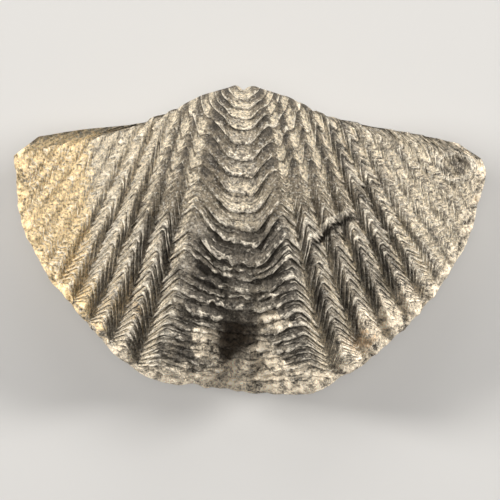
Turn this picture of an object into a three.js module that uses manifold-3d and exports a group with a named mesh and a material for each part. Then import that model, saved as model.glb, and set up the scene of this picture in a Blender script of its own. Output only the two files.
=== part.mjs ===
// A fossil brachiopod: a winged, ribbed spirifer whose two valves are cemented together by stone.
//
// Units are millimetres. +X points to the right wing, +Y to the beak and the hinge line, and +Z out of
// the pedicle valve. The origin lies under the middle of the body, on the surface that it rests on.
//
// The fossil is one closed body of stone. Its skin is three patches that share their edges:
//   the pedicle valve, on top, a fan of growth lines that spreads from the beak to the margin;
//   the brachial valve, underneath, a second fan that spreads from its own small beak;
//   the interarea, the narrow wall behind, between the shoulders of the two valves.

import * as THREE from 'three';
import { mergeVertices } from 'three/addons/utils/BufferGeometryUtils.js';
import Module from 'manifold-3d';

// Driving dimensions.
const SHELL_WIDTH = 27.8;       // from wing tip to wing tip
const SHELL_LENGTH = 18.1;      // from the beak to the front margin
const SHELL_THICKNESS = 9.0;    // through both valves
const REST_FACET_DEPTH = 0.4;   // stone worn away underneath, which leaves a flat to rest on

// Where the growth of each valve starts, and how wide its fan opens on each side.
const BEAK = new THREE.Vector3(-0.26, 8.76, 6.36);
const LOWER_BEAK = new THREE.Vector3(-0.26, 7.0, 3.7);
const LEFT_FAN_ANGLE = 77.8;
const RIGHT_FAN_ANGLE = 76.6;

// The margin's distance from the beak, by its angle in degrees from straight ahead, to the right.
const MARGIN = [
  [-77.8, 12.5], [-76.2, 13.7], [-73, 14.1], [-68.8, 14.4], [-57, 15.3], [-37.3, 16.3],
  [-18.7, 17.8], [-4.9, 17.7], [11.8, 18.3], [23.6, 17.6], [39.3, 16.6], [53.1, 16],
  [64.9, 15.3], [71.9, 14.9], [75, 14.2], [76.6, 13],
];

// Heights of the commissure, where the valves meet.
const WING_HEIGHT = 4.4;
const TONGUE_DROP = 1.7;        // how far the front tongue dips into the brachial valve

// Depths of the two valves, measured from the commissure.
const PEDICLE_DEPTH = 4.9;
const BRACHIAL_DEPTH = 4.4;
const BELLY_BREADTH = 1.4;      // how far the flat of the brachial valve reaches out to its sides
const BEAK_SHARE = 0.4;         // how high the beak stands, as a share of the valve's depth
const UMBO_BREADTH = 0.15;      // how quickly that swell dies out to the sides
const UMBO_OVERHANG = 0.62;     // how far the umbo swells out behind its own beak
const LOWER_UMBO_OVERHANG = 0.7;
const HINGE_DIP = { left: 0.45, right: 0.35 }; // how far the hinge curves in beside the umbo

// Ribs. Each flank has its own, counted outwards from the crest beside the sulcus.
const RIB_RELIEF = 0.5;
const LEFT_FLANK = { first: 3.95, pitch: 1.92, crowding: 0.917 };
const RIGHT_FLANK = { first: 3.05, pitch: 1.78, crowding: 0.952 };
const SULCUS_DEPTH = 1.25;      // at the front margin, below its two bounding crests
const FOLD_HEIGHT = 0.2;        // of the brachial valve's fold, which faces the sulcus

// How finely the skin is divided.
const COLUMNS = 140;
const ROWS = 16;

const radians = THREE.MathUtils.degToRad;
const smooth = (value, low, high) => THREE.MathUtils.smoothstep(value, low, high);
const mix = THREE.MathUtils.lerp;

/** The distance from the beak to the margin at an angle, on a smooth curve through MARGIN. */
function marginRadius(angle) {
  const last = MARGIN.length - 1;
  let span = 0;
  while (span < last - 1 && angle > MARGIN[span + 1][0]) {
    span += 1;
  }
  const at = (index) => MARGIN[Math.min(Math.max(index, 0), last)];
  const [before, start, end, after] = [at(span - 1), at(span), at(span + 1), at(span + 2)];
  const width = end[0] - start[0];
  const startSlope = (end[1] - before[1]) / (end[0] - before[0]) * width;
  const endSlope = (after[1] - start[1]) / (after[0] - start[0]) * width;
  const t = (angle - start[0]) / width;
  const rise = end[1] - start[1];
  return start[1] + startSlope * t
    + (3 * rise - 2 * startSlope - endSlope) * t ** 2
    + (startSlope + endSlope - 2 * rise) * t ** 3;
}

/** How far an angle lies out in its half of the fan, from 0 in the middle to 1 on the edge. */
function sideShare(angle) {
  return Math.min(Math.abs(angle) / (angle < 0 ? LEFT_FAN_ANGLE : RIGHT_FAN_ANGLE), 1);
}

/** A point's sideways place among the ribs, which fan out as they run from the hinge to the front. */
function ribLabel(x, y) {
  const spread = 0.8087 * Math.exp(-0.0596 * y);
  const gathering = 0.59 * Math.exp(-0.243 * Math.max(9.1 - y, 0));
  const offset = x - BEAK.x;
  const inner = offset / (spread - gathering / 2.95);
  const outer = (offset + Math.sign(offset) * gathering) / spread;
  return Math.abs(inner) < 2.95 ? inner : outer;
}

/** How many ribs a label lies out from the crest beside the sulcus. Below 0 it is in the sulcus. */
function ribCount(label) {
  const flank = label < 0 ? LEFT_FLANK : RIGHT_FLANK;
  const outside = (Math.abs(label) - flank.first) / flank.pitch;
  return outside > 0 ? outside ** (1 / flank.crowding) : -1 + Math.abs(label) / flank.first;
}

/** How deep a label lies in the sulcus: 0 on its bounding crests and beyond, 1 on its flat floor. */
function sulcusShare(label) {
  const inside = Math.min(-Math.min(ribCount(label), 0) / 0.8, 1);
  return 0.5 - 0.5 * Math.cos(Math.PI * inside);
}

/** The height of the ribs at a label, from -0.5 in a trough to 0.5 on a crest, lower on the wings. */
function ribWave(label) {
  const count = ribCount(label);
  const fade = 1 - 0.75 * smooth(Math.abs(label), 8, 13);
  return count > 0 ? 0.5 * Math.cos(2 * Math.PI * count) * fade : 0.5;
}

/** The plan position and height of the margin at an angle. */
function marginPoint(angle) {
  const radius = marginRadius(angle);
  const x = BEAK.x + radius * Math.sin(radians(angle));
  const y = BEAK.y - radius * Math.cos(radians(angle));
  const label = ribLabel(x, y);
  const tongue = TONGUE_DROP * sulcusShare(label);
  return new THREE.Vector3(x, y, WING_HEIGHT - tongue + 0.3 * ribWave(label));
}

/** How far an umbo swells backwards at a stage of growth: nothing at the beak and at the margin. */
function umboSwell(growth, amount, reach) {
  return amount * (1 - Math.exp(-growth / 0.02)) * Math.exp(-((growth / reach) ** 1.9)) * (1 - growth);
}

/** How far the hinge line and the shell in front of it curve in, halfway out along each wing. */
function hingeDip(angle, growth) {
  const depth = angle < 0 ? HINGE_DIP.left : HINGE_DIP.right;
  const halfway = 4 * growth * (1 - growth) * Math.exp(-(((growth - 0.46) / 0.3) ** 2));
  return depth * halfway * sideShare(angle) ** 3;
}

/** A point of the pedicle valve. growth runs from 0 at the beak to 1 at the margin. */
function pediclePoint(angle, growth) {
  const margin = marginPoint(angle);
  const aside = sideShare(angle) ** 2;
  const crown = (1 - growth ** 2.5) ** 0.82 * (1 - (1 - BEAK_SHARE) * Math.exp(-growth / 0.07));
  const shoulder = BEAK_SHARE * (1 - growth) ** 1.2;
  const flare = mix(0.55, 1.4, smooth(growth, 0.05, 0.4));
  const arch = (1 - aside) ** flare;
  const swell = umboSwell(growth, UMBO_OVERHANG, 0.5) * (1 - aside) ** UMBO_BREADTH;
  const x = mix(BEAK.x, margin.x, growth);
  const y = mix(BEAK.y, margin.y, growth) + swell - hingeDip(angle, growth);
  const label = ribLabel(x, y);
  const sulcus = sulcusShare(label) * SULCUS_DEPTH * growth ** 0.8 * (1 - growth ** 12);
  const ribs = ribWave(label) * RIB_RELIEF * smooth(growth, 0.15, 0.8) * (1 - growth ** 12);
  const ground = mix(WING_HEIGHT, margin.z, growth ** 3);
  const z = ground + PEDICLE_DEPTH * mix(shoulder, crown, arch) + ribs - sulcus;
  return new THREE.Vector3(x, y, z);
}

/** A point of the brachial valve. growth runs from 0 at its beak to 1 at the margin. */
function brachialPoint(angle, growth) {
  const margin = marginPoint(angle);
  const aside = sideShare(angle) ** 2;
  const belly = (1 - growth ** 2.4) ** 0.8 * (1 - Math.exp(-growth / 0.11));
  const arch = 1 - aside ** BELLY_BREADTH;
  const swell = umboSwell(growth, LOWER_UMBO_OVERHANG, 0.16) * Math.sqrt(1 - aside);
  const x = mix(LOWER_BEAK.x, margin.x, growth);
  const y = mix(LOWER_BEAK.y, margin.y, growth) + swell - 0.5 * hingeDip(angle, growth);
  const label = ribLabel(x, y);
  const fold = sulcusShare(label) * FOLD_HEIGHT * growth ** 0.8 * (1 - growth ** 12);
  const ribs = ribWave(label) * 0.8 * RIB_RELIEF * smooth(growth, 0.3, 0.9) * (1 - growth ** 12);
  const tongue = (WING_HEIGHT - margin.z) * growth ** 3;
  const ground = mix(LOWER_BEAK.z, WING_HEIGHT, growth ** 0.7) - tongue;
  const z = ground - BRACHIAL_DEPTH * belly * arch + ribs - fold;
  return new THREE.Vector3(x, y, z);
}

/** A point of the interarea, from 0 on the pedicle valve's shoulder to 1 on the brachial valve's. */
function interareaPoint(angle, growth, across) {
  const upper = pediclePoint(angle, growth);
  const lower = brachialPoint(angle, growth);
  const hollow = 0.35 * Math.sin(Math.PI * across) * (1 - growth);
  return upper.lerp(lower, across).sub(new THREE.Vector3(0, hollow, 0));
}

/**
 * Adds a grid to a list of triangles. pointAt(column, row) gives each corner, and each quad is
 * split along its shorter diagonal, so that the edges run along the ribs and not across them.
 */
function addPatch(triangles, columns, rows, pointAt) {
  for (let row = 0; row < rows; row += 1) {
    for (let column = 0; column < columns; column += 1) {
      const a = pointAt(column, row);
      const b = pointAt(column + 1, row);
      const c = pointAt(column + 1, row + 1);
      const d = pointAt(column, row + 1);
      const folded = a.distanceTo(c) > b.distanceTo(d);
      triangles.push(...(folded ? [[a, b, d], [b, c, d]] : [[a, b, c], [a, c, d]]));
    }
  }
}

/** The angle of a column, counted from the left edge of the fan. */
function columnAngle(column) {
  return mix(-LEFT_FAN_ANGLE, RIGHT_FAN_ANGLE, column / COLUMNS);
}

/** The growth of a row. Rows crowd near the beak, where the umbo curls, and near the margin. */
function rowGrowth(row) {
  const share = row / ROWS;
  return mix(share ** 1.7, 0.5 - 0.5 * Math.cos(Math.PI * share), 0.35 * share);
}

/** The three patches of the skin, as a list of triangles with their faces pointing out. */
function skinTriangles() {
  const triangles = [];
  addPatch(triangles, COLUMNS, ROWS, (column, row) =>
    pediclePoint(columnAngle(column), rowGrowth(ROWS - row)));
  addPatch(triangles, COLUMNS, ROWS, (column, row) =>
    brachialPoint(columnAngle(column), rowGrowth(row)));
  const acrossSteps = 4;
  addPatch(triangles, 2 * ROWS, acrossSteps, (column, row) =>
    interareaPoint(columnAngle(column < ROWS ? COLUMNS : 0),
      rowGrowth(Math.abs(column - ROWS)), 1 - row / acrossSteps));
  return triangles;
}

/** A welded geometry without the slivers that close each fan at its pole. */
function skinGeometry() {
  const positions = [];
  for (const corners of skinTriangles()) {
    const [a, b, c] = corners;
    const sliver = a.distanceTo(b) < 1e-5 || b.distanceTo(c) < 1e-5 || c.distanceTo(a) < 1e-5;
    if (!sliver) {
      positions.push(...corners.flatMap((corner) => corner.toArray()));
    }
  }
  const geometry = new THREE.BufferGeometry();
  geometry.setAttribute('position', new THREE.Float32BufferAttribute(positions, 3));
  return mergeVertices(geometry, 1e-4);
}

/** Scales a geometry to the fossil's size, with its lowest point just below the rest facet. */
function fitToSize(geometry) {
  geometry.computeBoundingBox();
  const { min, max } = geometry.boundingBox;
  geometry.translate(-(min.x + max.x) / 2, -(min.y + max.y) / 2, -min.z);
  geometry.scale(
    SHELL_WIDTH / (max.x - min.x),
    SHELL_LENGTH / (max.y - min.y),
    (SHELL_THICKNESS + REST_FACET_DEPTH) / (max.z - min.z),
  );
  geometry.translate(0, 0, -REST_FACET_DEPTH);
  return geometry;
}

/** A geometry as a solid that can be cut. */
function toSolid(wasm, geometry) {
  const bare = new THREE.BufferGeometry();
  bare.setAttribute('position', geometry.getAttribute('position'));
  bare.setIndex(geometry.getIndex());
  const welded = mergeVertices(bare, 1e-4);
  return new wasm.Manifold(new wasm.Mesh({
    numProp: 3,
    vertProperties: new Float32Array(welded.getAttribute('position').array),
    triVerts: new Uint32Array(welded.getIndex().array),
  }));
}

/** A cut solid as a geometry. */
function toGeometry(solid) {
  const mesh = solid.getMesh();
  const geometry = new THREE.BufferGeometry();
  geometry.setAttribute('position', new THREE.Float32BufferAttribute(mesh.vertProperties, 3));
  geometry.setIndex(new THREE.Uint32BufferAttribute(mesh.triVerts, 1));
  geometry.computeVertexNormals();
  return geometry;
}

/** The skin with its underside worn flat where it rests. */
function wornBody(wasm) {
  const below = new THREE.BoxGeometry(2 * SHELL_WIDTH, 2 * SHELL_LENGTH, SHELL_THICKNESS);
  below.translate(0, 0, -SHELL_THICKNESS / 2);
  const body = toSolid(wasm, fitToSize(skinGeometry()));
  return toGeometry(body.subtract(toSolid(wasm, below)));
}

/** Weathered calcite and grey lime mud, the one finish of the whole fossil. */
function fossilStone() {
  return new THREE.MeshStandardMaterial({ color: 0xa39a88, roughness: 0.85, metalness: 0 });
}

const wasm = await Module();
wasm.setup();

const fossil = new THREE.Mesh(wornBody(wasm), fossilStone());
fossil.name = 'brachiopod_fossil';

const group = new THREE.Group();
group.add(fossil);

export default group;
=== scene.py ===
"""A fossil brachiopod, a winged and ribbed spirifer, as one fine mesh in a small studio.

The shell is worked out in millimetres, in the frame of the construction model: +X points to the
right wing, +Y to the beak, +Z out of the pedicle valve. It is scaled to the construction model's
box and turned into metres when its mesh is made.
"""

import itertools
import logging
import math
from dataclasses import dataclass, field
from enum import Enum
from typing import Callable

import bpy
import numpy as np
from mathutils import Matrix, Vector


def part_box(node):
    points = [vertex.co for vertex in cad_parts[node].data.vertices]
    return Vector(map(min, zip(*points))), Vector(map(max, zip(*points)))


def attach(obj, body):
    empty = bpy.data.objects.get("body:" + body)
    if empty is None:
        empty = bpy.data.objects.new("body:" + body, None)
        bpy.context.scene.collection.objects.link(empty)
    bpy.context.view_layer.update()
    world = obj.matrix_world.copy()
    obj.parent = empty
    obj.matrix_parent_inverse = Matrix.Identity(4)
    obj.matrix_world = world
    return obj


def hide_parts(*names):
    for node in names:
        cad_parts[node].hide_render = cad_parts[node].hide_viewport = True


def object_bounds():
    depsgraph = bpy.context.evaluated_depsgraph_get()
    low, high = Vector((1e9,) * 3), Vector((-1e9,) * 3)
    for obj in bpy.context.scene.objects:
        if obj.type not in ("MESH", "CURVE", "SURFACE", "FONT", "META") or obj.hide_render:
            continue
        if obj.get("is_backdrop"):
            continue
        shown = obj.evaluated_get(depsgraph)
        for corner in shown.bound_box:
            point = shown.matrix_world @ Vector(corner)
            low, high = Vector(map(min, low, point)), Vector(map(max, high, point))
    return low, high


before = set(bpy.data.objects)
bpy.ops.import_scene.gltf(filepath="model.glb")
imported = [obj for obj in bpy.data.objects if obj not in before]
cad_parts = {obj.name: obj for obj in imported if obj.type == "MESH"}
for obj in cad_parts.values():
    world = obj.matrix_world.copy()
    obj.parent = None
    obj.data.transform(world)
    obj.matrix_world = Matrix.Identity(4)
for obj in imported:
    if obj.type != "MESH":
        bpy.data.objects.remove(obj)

LOG = logging.getLogger("fossil")
Array = np.ndarray
Colour = tuple[float, float, float]
Shape = Callable[[Array, Array], Array]

MM = 0.001
NODE = "brachiopod_fossil"
# Sharpness of the ribs' waves, from 0 for a cosine to 1 for a triangle.
RIB_SHARPNESS = 0.9
# The most that a growth plate's free edge stands up, in millimetres.
PLATE_LIMIT = 0.5
# Place of the hinge line down the wall behind, from 0 at its top to 1.
HINGE_LINE = 0.8
# Where the crack in the right flank starts, in plan, and the direction in which it runs.
CRACK_START = (3.6, -0.1)
CRACK_ALONG = (0.81, 0.586)
# Depth in millimetres that is worn off the fossil where it rests.
REST_FACET = 0.3
# Half the side of the floor, in metres.
FLOOR_HALF = 0.6


def smooth(value: Array, low: float, high: float) -> Array:
    """A smooth step: 0 below low, 1 above high, and a cubic ease between them."""
    share = np.clip((value - low) / (high - low), 0.0, 1.0)
    return share * share * (3.0 - 2.0 * share)


def mix(start: Array, end: Array, share: Array) -> Array:
    """The straight blend of two values: start where share is 0, end where it is 1."""
    return start + (end - start) * share


def blob(x: Array, y: Array, centre: tuple[float, float], reach: tuple[float, float]) -> Array:
    """A soft oval spot in plan: 1 at its centre, falling off as a bell over its two reaches."""
    return np.exp(-(((x - centre[0]) / reach[0]) ** 2) - ((y - centre[1]) / reach[1]) ** 2)


def bell(value: Array, centre: float, width: float) -> Array:
    """A bell over a value: 1 at its centre, and about a third of that one width away."""
    return np.exp(-(((value - centre) / width) ** 2))


class Flank(Enum):
    """The two sides of the shell, with the place, pitch and crowding of their ribs.

    Each value holds the rib label of the crest beside the sulcus, the pitch of the ribs in
    millimetres, and the power by which they crowd together towards the wing.
    """

    LEFT = (3.95, 1.92, 0.917)
    RIGHT = (3.05, 1.78, 0.952)


@dataclass(frozen=True)
class LatticeNoise:
    """Smooth seeded noise: random values on a cubic lattice, blended with a cubic ease.

    Args:
        seed: Seed of the lattice's random values.
        side: Cells along each side of the lattice before it repeats.
    """

    seed: int
    side: int = 37

    def single(self, points: Array, wavelength: float) -> Array:
        """One octave of noise.

        Args:
            points: An array of positions, three values each.
            wavelength: Size of one cell of the lattice, in the units of the positions.

        Returns:
            One value for each position, from -1 to 1.
        """
        table = np.random.default_rng(self.seed).uniform(-1.0, 1.0, (self.side,) * 3)
        place = points / wavelength + 0.37 * self.side
        cell = np.floor(place).astype(np.int64)
        share = place - cell
        ease = share * share * (3.0 - 2.0 * share)
        total = np.zeros(points.shape[0])
        for corner in itertools.product((0, 1), repeat=3):
            index = (cell + corner) % self.side
            weight = np.prod(np.where(np.array(corner) == 1, ease, 1.0 - ease), axis=1)
            total += weight * table[index[:, 0], index[:, 1], index[:, 2]]
        return total

    def layered(self, points: Array, wavelength: float, octaves: int = 3) -> Array:
        """Noise of several octaves, each of half the wavelength and half the strength before."""
        layers = [
            self.single(points, wavelength / 2**octave) / 2**octave for octave in range(octaves)
        ]
        return sum(layers) / (2.0 - 2.0 ** (1 - octaves))


@dataclass(frozen=True)
class MarginCurve:
    """The shell's outline, as the distance from the beak by the angle from straight ahead.

    Args:
        points: Angle in degrees, to the right, and distance in millimetres, from wing to wing.
    """

    points: tuple[tuple[float, float], ...] = (
        (-77.8, 12.5), (-76.2, 13.7), (-73, 14.1), (-68.8, 14.4), (-57, 15.3), (-37.3, 16.3),
        (-18.7, 17.8), (-4.9, 17.7), (11.8, 18.3), (23.6, 17.6), (39.3, 16.6), (53.1, 16),
        (64.9, 15.3), (71.9, 14.9), (75, 14.2), (76.6, 13),
    )

    def radius(self, angle: Array) -> Array:
        """The distance to the margin: a cubic between neighbours, with their average slope.

        Args:
            angle: Angles from straight ahead, in degrees.

        Returns:
            Distances from the beak, in millimetres.
        """
        knots, values = np.array(self.points, dtype=float).T
        slopes = np.empty_like(values)
        slopes[1:-1] = (values[2:] - values[:-2]) / (knots[2:] - knots[:-2])
        slopes[0] = (values[1] - values[0]) / (knots[1] - knots[0])
        slopes[-1] = (values[-1] - values[-2]) / (knots[-1] - knots[-2])
        span = np.clip(np.searchsorted(knots, angle, side="right") - 1, 0, len(knots) - 2)
        width = knots[span + 1] - knots[span]
        start, rise = values[span], values[span + 1] - values[span]
        first, last = slopes[span] * width, slopes[span + 1] * width
        t = (angle - knots[span]) / width
        return (
            start + first * t + (3 * rise - 2 * first - last) * t**2 + (first + last - 2 * rise) * t**3
        )


@dataclass(frozen=True)
class RibPlan:
    """Where the ribs and the sulcus run over the shell, seen in plan.

    A rib keeps one label along its whole length. Labels are millimetres from the middle line on
    a level a third of the way up from the front margin.

    Args:
        axis: Sideways place of the middle line.
    """

    axis: float = -0.26

    def label(self, x: Array, y: Array) -> Array:
        """The label at a place: the offset from the axis over a spread that grows to the front.

        The spread falls off exponentially towards the beak, and near the beak the ribs are
        gathered inwards by a little more, which fades exponentially to the front.
        """
        spread = 0.8087 * np.exp(-0.0596 * y)
        gathering = 0.59 * np.exp(-0.243 * np.maximum(9.1 - y, 0.0))
        offset = x - self.axis
        inner = offset / (spread - gathering / 2.95)
        outer = (offset + np.sign(offset) * gathering) / spread
        return np.where(np.abs(inner) < 2.95, inner, outer)

    def count(self, label: Array) -> Array:
        """How many ribs a label lies out from the crest beside the sulcus, and below 0 inside it."""
        first, pitch, crowding = (
            np.where(label < 0, left, right)
            for left, right in zip(Flank.LEFT.value, Flank.RIGHT.value)
        )
        outside = (np.abs(label) - first) / pitch
        beyond = np.maximum(outside, 0.0) ** (1.0 / crowding)
        return np.where(outside > 0, beyond, -1.0 + np.abs(label) / first)

    def sulcus(self, label: Array) -> Array:
        """The share of the sulcus's depth: 0 on its crests and beyond, 1 on its flat floor."""
        inside = np.clip(-self.count(label) / 0.8, 0.0, 1.0)
        return 0.5 - 0.5 * np.cos(np.pi * inside)

    def wave(self, label: Array, sharpness: float) -> Array:
        """The ribs' cross-section, from -0.5 in a trough to 0.5 on a crest, lower on the wings.

        Args:
            label: Labels of the places.
            sharpness: 0 for a cosine, close to 1 for a triangle, by the arc sine of the cosine.

        Returns:
            Heights of the wave, held at 0.5 inside the sulcus.
        """
        count = self.count(label)
        bound = max(sharpness, 1e-3)
        profile = np.arcsin(bound * np.cos(2 * np.pi * count)) / math.asin(bound)
        fade = 1.0 - 0.75 * smooth(np.abs(label), 8.5, 14.0)
        return np.where(count > 0, 0.5 * profile * fade, 0.5)

    @staticmethod
    def columns(fineness: float) -> Array:
        """Labels for the mesh's columns, a step apart in the middle and wider on the wings.

        The labels are a hyperbolic sine of an even count, so the middle of the shell has the
        finest columns.

        Args:
            fineness: Step between the columns in the middle, in millimetres of label.

        Returns:
            Labels in rising order, with 0 in the middle.
        """
        reach = 15.0
        half = int(reach * math.asinh(28.0 / reach) / fineness)
        return reach * np.sinh(np.arange(-half, half + 1) * fineness / reach)

    def facing(self, label: Array, turn: Array | float = 0.0) -> Array:
        """Which way a rib's slope faces: 1 outwards, to the wing, and -1 inwards, to the sulcus.

        Args:
            label: Labels of the places.
            turn: How far outwards the faces are moved, as a share of a rib's width.

        Returns:
            The sine of the count of ribs, and half a sine inside the sulcus.
        """
        count = self.count(label)
        inside = -np.sin(np.pi * np.clip(-count / 0.8, 0, 1))
        return np.where(count > 0, np.sin(2 * np.pi * (count - turn)), inside)


@dataclass(frozen=True)
class GrowthCalendar:
    """The stages at which the shell paused and began a new plate, from 0 at the beak to 1.

    Args:
        stages: Growth at each pause, in rising order, with 0 before and 1 after them.
    """

    stages: tuple[float, ...]

    @classmethod
    def from_fronts(cls, fronts: tuple[float, ...], growth: Array, line: Array) -> "GrowthCalendar":
        """Reads the stages off the middle line.

        Args:
            fronts: Where the plates end on the middle line, from the beak to the front.
            growth: Growth values in rising order.
            line: The place on the middle line that each of them reaches, in falling order.

        Returns:
            The calendar.
        """
        stages = np.interp(-np.array(fronts), -line, growth)
        return cls((0.0, *stages.tolist(), 1.0))

    def phase(self, growth: Array) -> tuple[Array, Array]:
        """Where a growth lies in its plate.

        Args:
            growth: Growth values from 0 to 1.

        Returns:
            The plate's number, and the share of it that has grown, from 0 to 1.
        """
        stages = np.array(self.stages)
        plate = np.clip(np.searchsorted(stages, growth, side="right") - 1, 0, len(stages) - 2)
        return plate, (growth - stages[plate]) / (stages[plate + 1] - stages[plate])

    def rows(self, folds: int, shares: tuple[float, ...]) -> Array:
        """The growth of each ring of the mesh: the same shares of each fold of each plate.

        Args:
            folds: Fine folds in each plate.
            shares: Places of the rings in a fold, from 0 behind its step to 1 on its free edge.

        Returns:
            Growth values in rising order, with 0 before and 1 after them.
        """
        stages = np.array(self.stages)
        starts = np.linspace(0, 1, folds, endpoint=False)
        parts = (starts[:, None] + np.array(shares)[None, :] / folds).ravel()
        inner = (stages[:-1, None] + np.diff(stages)[:, None] * parts[None, :]).ravel()
        return np.concatenate([[0.0], inner, [1.0]])


@dataclass
class Skin:
    """A stretch of the fossil's surface: its points and the masks that its finish reads.

    Args:
        points: Positions in millimetres.
        flow: Place across the ribs and along the growth, and a value of its own for each plate.
        masks: One array of values for each named mask; a mask that is left out is 0.
    """

    points: Array
    flow: Array
    masks: dict[str, Array] = field(default_factory=dict)


# The finish's masks. The pale one holds the cream tone together with painted light, the dark one holds dark
# tone together with painted shade, the edge one is a painted highlight along free edges, shade is painted
# shade beneath them, and the pit's is painted shade in the hollow of the sulcus.
MASKS = ("cream_and_painted_light", "umber", "dark_tone_and_shade", "ochre", "mud", "lip_highlight", "shade", "rust", "pit")


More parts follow.
